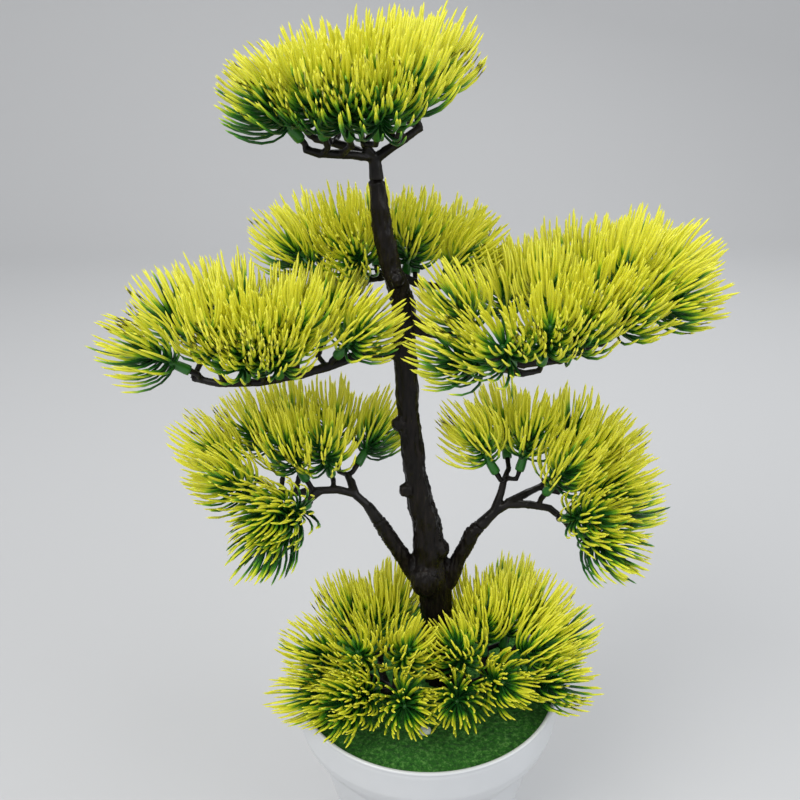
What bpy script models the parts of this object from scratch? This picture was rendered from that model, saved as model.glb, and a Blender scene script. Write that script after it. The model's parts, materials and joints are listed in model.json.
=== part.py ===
"""Artificial tabletop tree: a moulded plastic trunk planted in a small white pot, with plug-on
sprays that carry bottle-brush needle heads. Metres, +Z up, origin at the centre of the pot's
underside, the tree's front towards -Y."""

import math

import bmesh
import bpy
from mathutils import Matrix, Vector

MM = 0.001

# ---- driving dimensions ----
FIT = 0.0003  # clearance wherever two pieces touch or one slides into another

POT_HEIGHT = 0.105
POT_MOUTH_RADIUS = 0.070  # outside of the lip
POT_BASE_RADIUS = 0.046
POT_WALL = 0.0025
POT_FLOOR = 0.004
POT_BAND = 0.017  # upright band under the lip
POT_SIDES = 32

MAT_DROP = 0.0060  # from the lip down to the mat's top
MAT_THICK = 0.0030

TRUNK_HEIGHT = 0.268  # from the mat's top to the face that the top spray sits on
TRUNK_FOOT_RADIUS = 0.0085
TRUNK_TIP_RADIUS = 0.0040
TRUNK_SIDES = 8
ROOT_RADIUS = 0.0085
ROOT_DEPTH = 0.028  # how far the root peg goes below the mat's top

PLUG_RADIUS = 0.0019  # peg on the trunk that a spray is pushed over
PLUG_LENGTH = 0.0080
SOCKET_WALL = 0.0012  # around the peg, in the spray
ARM_RADIUS = 0.0025  # a spray's arms where they leave the socket
ARM_TIP_RADIUS = 0.0017

TWIG_RADIUS = 0.0015
PEG_RADIUS = 0.0011  # end of a twig, inside a head's collar
PEG_LENGTH = 0.0060
COLLAR_WALL = 0.0008
COLLAR_LENGTH = 0.0080
HEAD_LENGTH = 0.040  # from the collar's rim to the needle tips
HEAD_RADIUS = 0.0130  # needle envelope where nothing is near
HEAD_SIDES = 8

STEM_RADIUS = 0.0026  # the ground sprays' stems, pushed through the mat
STEM_DEPTH = 0.016

BLOB_RADIUS = 0.0032
BLOB_PLACE = (-2, -36)  # mm from the pot's axis

# Trunk: x, y, height above the mat for a 268 mm trunk, and girth against a straight taper.
TRUNK_PATH = [
    ((8, 4, -1), 1.00),
    ((7, 5, 18), 1.02),
    ((6, 6, 38), 1.04),
    ((4, 6, 60), 1.16),
    ((2, 6, 76), 1.24),
    ((1, 5, 93), 1.10),
    ((-3, 4, 110), 0.96),
    ((-6, 3, 132), 0.90),
    ((-8, 2, 155), 0.92),
    ((-9, 2, 177), 0.97),
    ((-10, 2, 197), 1.02),
    ((-10, 2, 213), 1.08),
    ((-15, 2, 228), 1.10),
    ((-18, 2, 243), 1.02),
    ((-20, 2, 257), 1.00),
    ((-21, 2, 268), 1.00),
]
PATH_HEIGHT = 268

# Moulded branches of the trunk that end in a plug: points as above, first and last radius in
# mm, and the direction in which the plug's peg points.
BRANCHES = {
    "midback": ([(-14, 2, 224), (-14, 8, 223), (-14, 14, 222)], 3.8, 3.3, (0, 1, -0.1)),
    "upleft": ([(-10, 2, 187), (-15, 1, 190), (-20, 0, 191)], 4.4, 3.4, (-1, -0.25, 0)),
    "upright": ([(-10, 2, 207), (-5, 0, 205), (1, -2, 202)], 4.0, 3.4, (1, -0.35, -0.2)),
    "lowleft": (
        [(2, 6, 60), (-6, 6, 66), (-12, 4, 78), (-18, 2, 90), (-24, 0, 102)],
        4.9, 3.6, (-0.45, -0.1, 0.86),
    ),
    "lowright": (
        [(5, 6, 54), (12, 6, 62), (16, 5, 74), (20, 4, 85), (27, 2, 97)],
        4.9, 3.6, (0.62, -0.05, 0.75),
    ),
}
TOP_PLUG = ((-21, 2, 268), (-0.06, 0, 1))

# Swellings and cut stubs on the trunk: point, radii in mm.
KNOBS = [
    ((-13, -1, 155), 3.2),
    ((-10, 0, 119), 3.4),
    ((7, 2, 84), 5.0),
    ((-13, -3, 226), 3.2),
    ((0, 1, 66), 8.6),
]

# Sprays: points from the plug's face in mm. Arms are chains of points; a head is its foot,
# the azimuth and the elevation that it points in, and whether this model has its needles.
SPRAYS = {
    "top": (
        [
            [(0, 0, 0), (-0.6, 0, 10), (-12, -7, 12), (-23, -12, 13), (-29, -12, 15)],
            [(-0.6, 0, 9), (-13, 4, 14), (-26, 5, 17)],
            [(-0.6, 0, 9), (-5, -4, 16)],
            [(-0.6, 0, 9), (9, 0, 15), (19, 4, 21)],
        ],
        [
            ((-30, -13, 19), -140, 45, True),
            ((-30, 5, 21), 145, 45, True),
            ((-20, -17, 20), -110, 55, False),
            ((-17, 12, 22), 110, 60, True),
            ((-6, -9, 22), -110, 65, True),
            ((-10, -19, 20), -95, 45, False),
            ((5, 6, 25), 80, 70, True),
            ((10, -11, 22), -70, 60, True),
            ((1, -18, 20), -80, 40, False),
            ((19, 6, 27), 40, 60, True),
            ((14, 17, 27), 70, 60, False),
            ((-20, -3, 21), 150, 80, False),
            ((-2, -1, 24), 90, 86, False),
            ((11, -2, 25), 0, 82, False),
        ],
    ),
    "midback": (
        [
            [(0, 0, 0), (0, 11, -1), (-15, 16, -6), (-30, 20, -7)],
            [(0, 10, -1), (12, 15, -8), (22, 18, -10)],
            [(0, 10, -1), (0, 24, -5), (-5, 33, -6)],
        ],
        [
            ((-35, 17, -4), 160, 42, True),
            ((-34, 30, -5), 135, 50, True),
            ((-22, 20, -2), -120, 75, True),
            ((-14, 11, -4), -110, 55, False),
            ((-9, 36, -4), 95, 60, True),
            ((5, 18, -4), -60, 70, True),
            ((10, 33, -7), 85, 60, False),
            ((22, 15, -7), -25, 50, True),
            ((25, 31, -8), 60, 48, False),
        ],
    ),
    "upleft": (
        [
            [(0, 0, 0), (-11, -2.8, 0), (-22, -8, -3), (-36, -14, -5), (-55, -18, -7),
             (-72, -19, -7), (-84, -16, -5)],
            [(-36, -13, -5), (-48, -6, -4), (-62, -4, -3)],
        ],
        [
            ((-20, -12, 3), -35, 45, True),
            ((-37, -18, 4), -75, 65, True),
            ((-45, -20, -3), -80, 54, False),
            ((-42, 3, 1), 95, 55, False),
            ((-52, -24, 2), -90, 60, False),
            ((-70, -24, 3), -95, 65, True),
            ((-60, -1, 5), 125, 55, True),
            ((-84, -20, 0), -165, 32, True),
            ((-84, -6, 4), 150, 50, True),
            ((-78, 10, 3), 115, 50, False),
            ((-59, -23, -3), -88, 56, False),
            ((-28, 2, 3), 60, 55, False),
        ],
    ),
    "upright": (
        [
            [(0, 0, 0), (10, -3.5, -2), (24, -12, -8), (40, -16, -11), (56, -12, -11),
             (72, -4, -8), (86, 2, -3), (94, 6, 2)],
            [(24, -12, -8), (32, -21, -11), (40, -27, -11)],
            [(40, -16, -11), (50, -2, -9), (62, 8, -6), (78, 22, -2)],
        ],
        [
            ((27, -28, -7), -155, 22, True),
            ((58, -19, -6), -75, 50, False),
            ((78, -11, -1), -62, 48, False),
            ((34, -31, -5), -110, 38, False),
            ((23, -10, -1), -160, 55, True),
            ((36, 4, -2), 100, 55, False),
            ((47, -27, -6), -85, 60, True),
            ((54, -8, -1), 100, 70, True),
            ((50, 12, -1), 110, 60, False),
            ((68, -14, 0), -80, 65, True),
            ((75, 16, 5), 95, 68, True),
            ((92, -4, 6), -30, 32, True),
            ((90, 22, 9), 40, 60, False),
            ((99, 10, 10), 10, 48, True),
            ((82, 2, 8), -40, 75, False),
            ((64, 26, 1), 95, 55, False),
        ],
    ),
    "lowleft": (
        [
            [(0, 0, 0), (-5, -1.1, 9.6), (-11, -1, 16), (-19, -2, 19), (-28, -3, 19),
             (-39, 2, 15), (-50, 3, 14)],
            [(-11, -1, 16), (-13, 4, 20), (-15, 9, 21)],
            [(-28, -3, 19), (-33, -7, 16), (-37, -9, 13)],
        ],
        [
            ((-10, 12, 25), 50, 38, True),
            ((-20, 16, 25), 105, 60, True),
            ((-22, 0, 26), -110, 65, False),
            ((-34, -3, 25), -165, 65, True),
            ((-40, 20, 26), 120, 60, False),
            ((-50, 14, 26), 160, 50, True),
            ((-63, 3, 26), 175, 36, True),
            ((-54, -9, 20), -155, 35, False),
            ((-38, -16, 16), -125, 25, False),
            ((-39, -11, 12), -130, -18, True),
            ((-33, -11, 16), -115, 10, False),
        ],
    ),
    "lowright": (
        [
            [(0, 0, 0), (6.6, -0.5, 8), (13, -1, 13), (24, -2, 13), (34, -2, 11), (42, -4, 4),
             (45, -5, 0)],
            [(6.6, -0.5, 8), (10, 2, 17), (12, 4, 25)],
            [(13, -1, 13), (22, 3, 16), (30, 8, 17)],
        ],
        [
            ((7, 0, 30), 175, 60, True),
            ((19, 4, 29), 10, 75, True),
            ((14, 13, 31), 95, 45, False),
            ((31, -5, 21), -45, 58, True),
            ((39, 15, 25), 45, 58, True),
            ((51, 10, 19), 20, 45, False),
            ((50, 1, 12), 0, 35, True),
            ((40, -11, 10), -60, 30, False),
            ((52, 1, 3), 0, 12, False),
            ((42, 5, 20), 10, 55, False),
            ((47, -9, 1), -60, 8, True),
        ],
    ),
}

# Ground sprays: stem's place on the mat in mm, then arms and heads from the mat's top there.
GROUND = {
    "ground_left": (
        (-21, -10),
        [
            [(0, 0, 0), (0, 0, 7), (-7, -2, 13), (-14, -4, 20)],
            [(0, 0, 6), (2, -9, 12), (5, -16, 16)],
            [(0, 0, 6), (-4, 7, 14), (-3, 13, 20)],
        ],
        [
            ((-4, 9, 22), 110, 60, False),
            ((-19, -5, 24), -170, 35, True),
            ((-12, 8, 26), 135, 45, True),
            ((5, 15, 26), 95, 50, True),
            ((-5, -16, 17), -125, 30, True),
            ((9, -20, 20), -90, 25, True),
            ((-9, -8, 27), -110, 55, False),
            ((6, -9, 26), -60, 60, False),
            ((-20, -12, 13), -155, 20, False),
            ((-12, -17, 15), -120, 25, False),
        ],
    ),
    "ground_right": (
        (30, -6),
        [
            [(0, 0, 0), (0, 0, 6), (-6, -7, 11), (-13, -15, 16)],
            [(0, 0, 5), (4, 0, 12), (8, 2, 16)],
            [(0, 0, 5), (2, 9, 10), (3, 17, 13)],
        ],
        [
            ((11, 9, 20), 60, 70, False),
            ((-8, 12, 20), 60, 65, False),
            ((-15, -20, 19), -95, 25, True),
            ((0, -12, 17), -70, 35, False),
            ((14, -2, 20), -20, 38, True),
            ((20, 12, 21), 35, 45, False),
            ((15, 20, 22), 75, 50, True),
            ((23, 3, 19), 0, 30, False),
            ((19, -9, 14), -35, 18, False),
            ((0, 3, 20), 90, 75, False),
            ((-12, -10, 22), -110, 65, False),
        ],
    ),
}

# ---- values that follow ----
MAT_TOP = POT_HEIGHT - MAT_DROP
MAT_BOTTOM = MAT_TOP - MAT_THICK
SOCKET_RADIUS = PLUG_RADIUS + FIT + SOCKET_WALL
COLLAR_RADIUS = PEG_RADIUS + FIT + COLLAR_WALL
STRETCH = TRUNK_HEIGHT / (PATH_HEIGHT * MM)


# ---- scene ----
def clear_scene():
    for ob in list(bpy.data.objects):
        bpy.data.objects.remove(ob, do_unlink=True)


def new_collection(name):
    coll = bpy.data.collections.new(name)
    bpy.context.scene.collection.children.link(coll)
    return coll


def material(name, colour, roughness, metallic=0.0):
    mat = bpy.data.materials.new(name)
    mat.use_nodes = True
    shader = mat.node_tree.nodes["Principled BSDF"]
    shader.inputs["Base Color"].default_value = (*colour, 1.0)
    shader.inputs["Roughness"].default_value = roughness
    shader.inputs["Metallic"].default_value = metallic
    mat.diffuse_color = (*colour, 1.0)
    return mat


def add_object(name, mesh, coll, mat=None, smooth=40):
    ob = bpy.data.objects.new(name, mesh)
    coll.objects.link(ob)
    if mat:
        mesh.materials.clear()
        mesh.materials.append(mat)
    mesh.shade_smooth()
    mesh.set_sharp_from_angle(angle=math.radians(smooth))
    return ob


# ---- shapes ----
def turned(name, profile, sides, coll, mat):
    """A solid turned about Z from (radius, height) pairs, down the outside from the top."""
    mesh = bpy.data.meshes.new(name)
    verts = [(r, 0.0, z) for r, z in profile]
    mesh.from_pydata(verts, [(i, i + 1) for i in range(len(verts) - 1)], [])
    ob = add_object(name, mesh, coll, mat)
    screw = ob.modifiers.new("turn", "SCREW")
    screw.steps = sides
    screw.render_steps = sides
    screw.use_merge_vertices = True
    screw.merge_threshold = 0.00001
    screw.use_normal_calculate = True
    return ob


def tube(name, points, radii, sides_resolution, coll):
    """A round bar along the points, as a closed mesh with welded caps."""
    curve = bpy.data.curves.new(name, "CURVE")
    curve.dimensions = "3D"
    curve.bevel_depth = 1.0
    curve.bevel_resolution = sides_resolution
    curve.use_fill_caps = True
    line = curve.splines.new("POLY")
    line.points.add(len(points) - 1)
    for spot, point, radius in zip(line.points, points, radii):
        spot.co = (*point, 1.0)
        spot.radius = radius
    ob = bpy.data.objects.new(name, curve)
    coll.objects.link(ob)
    bpy.context.view_layer.update()
    seen = ob.evaluated_get(bpy.context.evaluated_depsgraph_get())
    mesh = bpy.data.meshes.new_from_object(seen)
    bpy.data.objects.remove(ob, do_unlink=True)
    bm = bmesh.new()
    bm.from_mesh(mesh)
    bmesh.ops.remove_doubles(bm, verts=bm.verts, dist=0.000001)
    bmesh.ops.recalc_face_normals(bm, faces=bm.faces)
    bm.to_mesh(mesh)
    bm.free()
    return add_object(name, mesh, coll)


def bar(name, start, axis, length, radius, sides, coll, taper=None):
    """A straight round bar from a point along an axis."""
    mesh = bpy.data.meshes.new(name)
    bm = bmesh.new()
    bmesh.ops.create_cone(
        bm,
        cap_ends=True,
        segments=sides,
        radius1=radius,
        radius2=radius if taper is None else taper,
        depth=length,
    )
    turn = Vector((0, 0, 1)).rotation_difference(Vector(axis).normalized()).to_matrix().to_4x4()
    middle = Vector(start) + Vector(axis).normalized() * (length / 2)
    bmesh.ops.transform(bm, matrix=Matrix.Translation(middle) @ turn, verts=bm.verts)
    bm.to_mesh(mesh)
    bm.free()
    return add_object(name, mesh, coll)


def ball(name, centre, radius, flat, coll):
    mesh = bpy.data.meshes.new(name)
    bm = bmesh.new()
    bmesh.ops.create_uvsphere(bm, u_segments=8, v_segments=6, radius=radius)
    bmesh.ops.scale(bm, vec=(1, 1, flat), verts=bm.verts)
    bmesh.ops.translate(bm, vec=Vector(centre), verts=bm.verts)
    bm.to_mesh(mesh)
    bm.free()
    return add_object(name, mesh, coll)


def apply_modifiers(ob):
    bpy.context.view_layer.update()
    seen = ob.evaluated_get(bpy.context.evaluated_depsgraph_get())
    mesh = bpy.data.meshes.new_from_object(seen)
    ob.modifiers.clear()
    ob.data = mesh


def combine(ob, others, operation):
    """Joins the others to the object, or cuts them out of it, and removes them."""
    for other in others:
        step = ob.modifiers.new("combine", "BOOLEAN")
        step.operation = operation
        step.solver = "EXACT"
        step.object = other
        apply_modifiers(ob)
        bpy.data.objects.remove(other, do_unlink=True)
    return ob


def finish_mesh(ob, mat, origin, smooth=40):
    """Welds slivers, moves the object's origin to a point and gives it its material."""
    mesh = ob.data
    bm = bmesh.new()
    bm.from_mesh(mesh)
    bmesh.ops.remove_doubles(bm, verts=bm.verts, dist=0.000001)
    bmesh.ops.triangulate(bm, faces=bm.faces)
    bmesh.ops.dissolve_degenerate(bm, dist=0.000002, edges=bm.edges)
    bmesh.ops.translate(bm, vec=-Vector(origin), verts=bm.verts)
    bm.to_mesh(mesh)
    bm.free()
    ob.location = Vector(origin)
    mesh.materials.clear()
    mesh.materials.append(mat)
    mesh.shade_smooth()
    mesh.set_sharp_from_angle(angle=math.radians(smooth))


# ---- geometry rules ----
def on_trunk(point):
    """A point of the trunk's table, as a place in the model."""
    x, y, height = point
    return Vector((x * MM, y * MM, MAT_TOP + height * MM * STRETCH))


def heading(azimuth, elevation):
    az = math.radians(azimuth)
    el = math.radians(elevation)
    return Vector((math.cos(az) * math.cos(el), math.sin(az) * math.cos(el), math.sin(el)))


def nearest_on_chain(chain, point):
    """The closest point on a chain of points, at most 97% of the way along it."""
    best = None
    for a, b in zip(chain, chain[1:]):
        along = b - a
        share = (point - a).dot(along) / max(along.length_squared, 1e-12)
        share = min(0.97, max(0.0, share))
        spot = a + along * share
        if best is None or (spot - point).length < (best - point).length:
            best = spot
    return best


def smooth_chain(points, steps=3):
    """Rounds a chain's corners, keeping its first straight run and its ends."""
    chain = [points[0]]
    for before, corner, after in zip(points, points[1:], points[2:]):
        for step in range(steps):
            t = (step + 0.5) / steps
            start = corner.lerp(before, 0.25)
            end = corner.lerp(after, 0.25)
            chain.append(start.lerp(corner, t).lerp(corner.lerp(end, t), t))
    chain.append(points[-1])
    return chain


def trunk_line():
    """The trunk's centre line with its radius at each point."""
    line = []
    for point, girth in TRUNK_PATH:
        share = max(0.0, point[2]) / PATH_HEIGHT
        straight = TRUNK_FOOT_RADIUS + (TRUNK_TIP_RADIUS - TRUNK_FOOT_RADIUS) * share
        line.append((on_trunk(point), straight * girth))
    return line


def twig_points(chain_spot, foot, direction):
    """From an arm, round a bend and straight into the head's foot."""
    lead = foot - direction * min(0.005, (foot - chain_spot).length * 0.6)
    return [chain_spot, lead, foot]


# ---- the pieces ----
def build_pot(coll, mat):
    """The pot's outline runs from the axis up the inside, over the lip and down to the axis."""
    base = POT_BASE_RADIUS
    mouth = POT_MOUTH_RADIUS
    under_band = POT_HEIGHT - POT_BAND
    shoulder = under_band - 0.006
    lip = [
        (mouth - POT_WALL * 1.2, POT_HEIGHT - POT_WALL * 0.1),
        (mouth - POT_WALL * 0.8, POT_HEIGHT),
        (mouth - POT_WALL * 0.25, POT_HEIGHT - POT_WALL * 0.2),
        (mouth, POT_HEIGHT - POT_WALL * 0.8),
    ]
    wall = [(mouth - 0.0004, under_band), (mouth - 0.0022, shoulder)]
    for share, bulge in ((0.84, 0.70), (0.62, 0.50), (0.36, 0.27), (0.12, 0.09)):
        wall.append((base + (mouth - base - 0.0022) * bulge, share * shoulder))
    foot = [(base, 0.0012), (base - 0.0015, 0.0), (0.0, 0.0)]
    hollow = [(base - POT_WALL - 0.001, POT_FLOOR)]
    hollow += [(r - POT_WALL, z) for r, z in reversed(wall) if z > POT_FLOOR + 0.004]
    hollow.append((mouth - POT_WALL - 0.0002, POT_HEIGHT - POT_WALL * 0.8))
    outline = [(0.0, POT_FLOOR)] + hollow + lip + wall + foot
    return turned("pot", outline, POT_SIDES, coll, mat), hollow


def inside_radius(hollow, height):
    """The pot's inner radius at a height."""
    for (r0, z0), (r1, z1) in zip(hollow, hollow[1:]):
        if z0 <= height <= z1:
            return r0 + (r1 - r0) * (height - z0) / max(z1 - z0, 1e-9)
    return hollow[-1][0]


def ground_holes(top, bottom, coll):
    """Cutters for the trunk's root and the ground sprays' stems."""
    x, y, _ = TRUNK_PATH[0][0]
    low = bottom if bottom > MAT_TOP - ROOT_DEPTH else MAT_TOP - ROOT_DEPTH - FIT
    holes = [
        bar("cut_root", (x * MM, y * MM, low), (0, 0, 1), top - low, ROOT_RADIUS + FIT, 16, coll)
    ]
    for name, (stem, _, _) in GROUND.items():
        low = bottom if bottom > MAT_TOP - STEM_DEPTH else MAT_TOP - STEM_DEPTH - FIT
        place = (stem[0] * MM, stem[1] * MM, low)
        holes.append(
            bar("cut_" + name, place, (0, 0, 1), top - low, STEM_RADIUS + FIT, 8, coll)
        )
    return holes


def build_filler(hollow, coll, cutters, mat):
    top = MAT_BOTTOM - FIT
    sides = [(r - FIT, z + FIT) for r, z in hollow if z < top - 0.004]
    sides.append((inside_radius(hollow, top) - 2 * FIT, top))
    profile = [(0.0, top)] + list(reversed(sides)) + [(0.0, POT_FLOOR + FIT)]
    ob = turned("filler", profile, POT_SIDES, coll, mat)
    apply_modifiers(ob)
    combine(ob, ground_holes(top + 0.01, POT_FLOOR, cutters), "DIFFERENCE")
    finish_mesh(ob, mat, (0, 0, 0))
    return ob


def build_mat(hollow, coll, cutters, mat):
    radius = min(inside_radius(hollow, MAT_TOP), inside_radius(hollow, MAT_BOTTOM)) - 2 * FIT
    ob = bar("grass_mat", (0, 0, MAT_BOTTOM), (0, 0, 1), MAT_THICK, radius, POT_SIDES, coll)
    combine(ob, ground_holes(MAT_TOP + 0.01, MAT_BOTTOM - 0.01, cutters), "DIFFERENCE")
    finish_mesh(ob, mat, (0, 0, 0))
    return ob


def build_blob(coll, cutters, mat):
    x, y = BLOB_PLACE
    ob = ball("glue_blob", (x * MM, y * MM, MAT_TOP + FIT), BLOB_RADIUS, 0.6, coll)
    under = bar("cut_blob", (x * MM, y * MM, MAT_TOP - 0.02), (0, 0, 1), 0.02 + FIT, 0.01, 8, cutters)
    combine(ob, [under], "DIFFERENCE")
    finish_mesh(ob, mat, (x * MM, y * MM, MAT_TOP))
    return ob


def peg_on(face, axis, coll):
    """A plug's peg, standing out of the end face of a branch."""
    axis = Vector(axis).normalized()
    start = face - axis * 0.003
    return bar("peg", start, axis, 0.003 + PLUG_LENGTH, PLUG_RADIUS, 8, coll, PLUG_RADIUS * 0.9)


def build_trunk(coll, mat):
    line = trunk_line()
    points = [p for p, _ in line]
    radii = [r for _, r in line]
    tip = points[-1]
    tip_axis = Vector(TOP_PLUG[1]).normalized()
    points[-2] = tip - tip_axis * (points[-1] - points[-2]).length
    ob = tube("trunk", points, radii, 2, coll)
    root = points[0]
    bottom = root.copy()
    bottom.z = MAT_TOP - ROOT_DEPTH
    extras = [bar("root", bottom, (0, 0, 1), MAT_TOP + 0.004 - bottom.z, ROOT_RADIUS, 16, coll)]
    extras.append(peg_on(tip, tip_axis, coll))
    for name, (path, first, last, axis) in BRANCHES.items():
        way = [on_trunk(p) for p in path]
        axis = Vector(axis).normalized()
        way[-2] = way[-1] - axis * min(0.006, (way[-1] - way[-2]).length)
        count = len(way) - 1
        sizes = [(first + (last - first) * i / count) * MM for i in range(count + 1)]
        extras.append(tube("branch_" + name, way, sizes, 2, coll))
        extras.append(peg_on(way[-1], axis, coll))
    for place, radius in KNOBS:
        extras.append(ball("knob", on_trunk(place), radius * MM, 1.15, coll))
    combine(ob, extras, "UNION")
    finish_mesh(ob, mat, (root.x, root.y, MAT_TOP))
    return ob


def spray_frame(name, plug, axis, arms, heads, coll, mat):
    """A spray's moulded arms, its twigs and the pegs that its heads sit on."""
    chains = [[plug + Vector(p) * MM for p in arm] for arm in arms]
    socket = axis is not None
    rounded = [smooth_chain(chain, 1) for chain in chains]
    parts = []
    for index, chain in enumerate(rounded):
        count = len(chain) - 1
        sizes = [ARM_RADIUS + (ARM_TIP_RADIUS - ARM_RADIUS) * i / count for i in range(count + 1)]
        parts.append(tube(name + "_arm", chain, sizes, 1, coll))
    if socket:
        behind = plug - axis * 0.001
        length = PLUG_LENGTH + 0.0035
        parts.append(bar("sleeve", behind, axis, length, SOCKET_RADIUS, 10, coll, ARM_RADIUS))
    else:
        low = plug - Vector((0, 0, STEM_DEPTH))
        parts.append(bar("stem", low, (0, 0, 1), STEM_DEPTH + 0.005, STEM_RADIUS, 8, coll))
    for place, azimuth, elevation, _ in heads:
        foot = plug + Vector(place) * MM
        way = heading(azimuth, elevation)
        spots = [nearest_on_chain(chain, foot - way * 0.004) for chain in rounded]
        spot = min(spots, key=lambda s: (s - foot).length)
        ways = twig_points(spot, foot - way * FIT, way)
        ways += [foot, foot + way * PEG_LENGTH]
        sizes = [TWIG_RADIUS] * 3 + [PEG_RADIUS, PEG_RADIUS * 0.9]
        parts.append(tube("twig", ways, sizes, 1, coll))
    ob = parts.pop(0)
    combine(ob, parts, "UNION")
    if socket:
        behind = plug - axis * 0.002
        depth = 0.002 + PLUG_LENGTH + FIT * 2
        near = bar("cut_face", plug - axis * 0.01, axis, 0.01 + FIT, 0.009, 12, coll)
        bore = bar("cut_bore", behind, axis, depth, PLUG_RADIUS + FIT, 8, coll)
        combine(ob, [near, bore], "DIFFERENCE")
    ob.name = "spray_" + name
    ob.data.name = ob.name
    finish_mesh(ob, mat, plug)
    return ob, chains


# How wide a head is along its length: share of the length, share of the full radius.
HEAD_SHAPE = [(1.0, 0.0), (0.95, 0.6), (0.74, 1.0), (0.45, 0.82)]


def width_near(share, spread):
    """The largest share of the full radius within a spread of a place along a head."""
    best = 0.0
    table = [(0.2, 0.3)] + HEAD_SHAPE[::-1]
    for step in range(9):
        at = share - spread + 2 * spread * step / 8
        for (s0, w0), (s1, w1) in zip(table, table[1:]):
            if s0 <= at <= s1:
                best = max(best, w0 + (w1 - w0) * (at - s0) / (s1 - s0))
    return best


def gap_between(a, b, c, d):
    """The least distance between two segments, by sampling."""
    best = 1.0
    for i in range(13):
        p = a.lerp(b, i / 12)
        along = d - c
        share = min(1.0, max(0.0, (p - c).dot(along) / along.length_squared))
        best = min(best, (c + along * share - p).length)
    return best


def head_radius(index, feet, hard):
    """As wide as a head's neighbours and the branches leave room for."""
    foot, way, owner = feet[index]
    near = foot + way * (0.30 * HEAD_LENGTH)
    far = foot + way * (0.86 * HEAD_LENGTH)
    radius = HEAD_RADIUS
    for other, (foot2, way2, _) in enumerate(feet):
        if other == index or (foot2 - foot).length > 2.5 * HEAD_LENGTH:
            continue
        near2 = foot2 + way2 * (0.30 * HEAD_LENGTH)
        far2 = foot2 + way2 * (0.86 * HEAD_LENGTH)
        radius = min(radius, gap_between(near, far, near2, far2) / 2 - FIT)
    for point, size, whose in hard:
        along = (point - foot).dot(way)
        if whose == index or not 0.0 < along + size or along - size > HEAD_LENGTH:
            continue
        across = (point - foot - way * along).length
        width = width_near(along / HEAD_LENGTH, size / HEAD_LENGTH)
        if width > 0:
            radius = min(radius, (across - size - 2 * FIT) / width)
    return max(radius, COLLAR_RADIUS * 1.05)


def build_head(name, foot, way, radius, parent, coll, mat):
    bore = PEG_RADIUS + FIT
    profile = [(share_w * radius, share * HEAD_LENGTH) for share, share_w in HEAD_SHAPE]
    profile = [(max(r, COLLAR_RADIUS) if z < 0.9 * HEAD_LENGTH else r, z) for r, z in profile]
    profile += [(COLLAR_RADIUS, COLLAR_LENGTH), (COLLAR_RADIUS, 0.0), (bore, 0.0)]
    profile += [(bore, PEG_LENGTH + FIT), (0.0, PEG_LENGTH + FIT)]
    ob = turned(name, profile, HEAD_SIDES, coll, mat)
    ob.rotation_mode = "QUATERNION"
    ob.rotation_quaternion = Vector((0, 0, 1)).rotation_difference(way)
    ob.parent = parent
    ob.location = foot - parent.location
    return ob


def sampled(points, radii, whose, step=0.002):
    """Points along a bar with their radius, for keeping heads clear of it."""
    spots = []
    for a, b, r0, r1 in zip(points, points[1:], radii, radii[1:]):
        count = max(1, int((b - a).length / step))
        for i in range(count + 1):
            spots.append((a.lerp(b, i / count), r0 + (r1 - r0) * i / count, whose))
    return spots


def build_sprays(coll, cutters, plastic, green):
    """Every spray with its heads, each under an empty at its plug."""
    plan = []
    for name, (arms, heads) in SPRAYS.items():
        if name == "top":
            point, axis = TOP_PLUG
            place = on_trunk(point)
        else:
            place = on_trunk(BRANCHES[name][0][-1])
            axis = BRANCHES[name][3]
        plan.append((name, place, Vector(axis).normalized(), arms, heads))
    for name, (stem, arms, heads) in GROUND.items():
        plan.append((name, Vector((stem[0] * MM, stem[1] * MM, MAT_TOP)), None, arms, heads))
    hard = []
    trunk = trunk_line()
    hard += sampled([p for p, _ in trunk], [r for _, r in trunk], -1)
    for path, first, last, _ in BRANCHES.values():
        hard += sampled([on_trunk(p) for p in path], [first * MM] * len(path), -1)
    feet = []
    for name, place, axis, arms, heads in plan:
        holder = bpy.data.objects.new("at_" + name, None)
        holder.location = place
        coll.objects.link(holder)
        frame, chains = spray_frame(name, place, axis, arms, heads, cutters, plastic)
        cutters.objects.unlink(frame)
        coll.objects.link(frame)
        frame.parent = holder
        frame.location = (0, 0, 0)
        for chain in chains:
            hard += sampled(chain, [ARM_RADIUS + 0.0006] * len(chain), -1)
        number = 0
        for spot, azimuth, elevation, shown in heads:
            foot = place + Vector(spot) * MM
            way = heading(azimuth, elevation)
            whose = len(feet) if shown else -1
            back = foot - way * 0.008
            hard += sampled([back, foot], [TWIG_RADIUS + 0.0003] * 2, whose)
            if shown:
                number += 1
                hard += sampled([foot, foot + way * COLLAR_LENGTH], [COLLAR_RADIUS] * 2, whose)
                feet.append((foot, way, (name, number, holder)))
            else:
                hard += sampled([foot, foot + way * PEG_LENGTH], [PEG_RADIUS] * 2, whose)
    for index, (foot, way, (name, number, holder)) in enumerate(feet):
        radius = head_radius(index, feet, hard)
        build_head(f"head_{name}_{number}", foot, way, radius, holder, coll, green)


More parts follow.
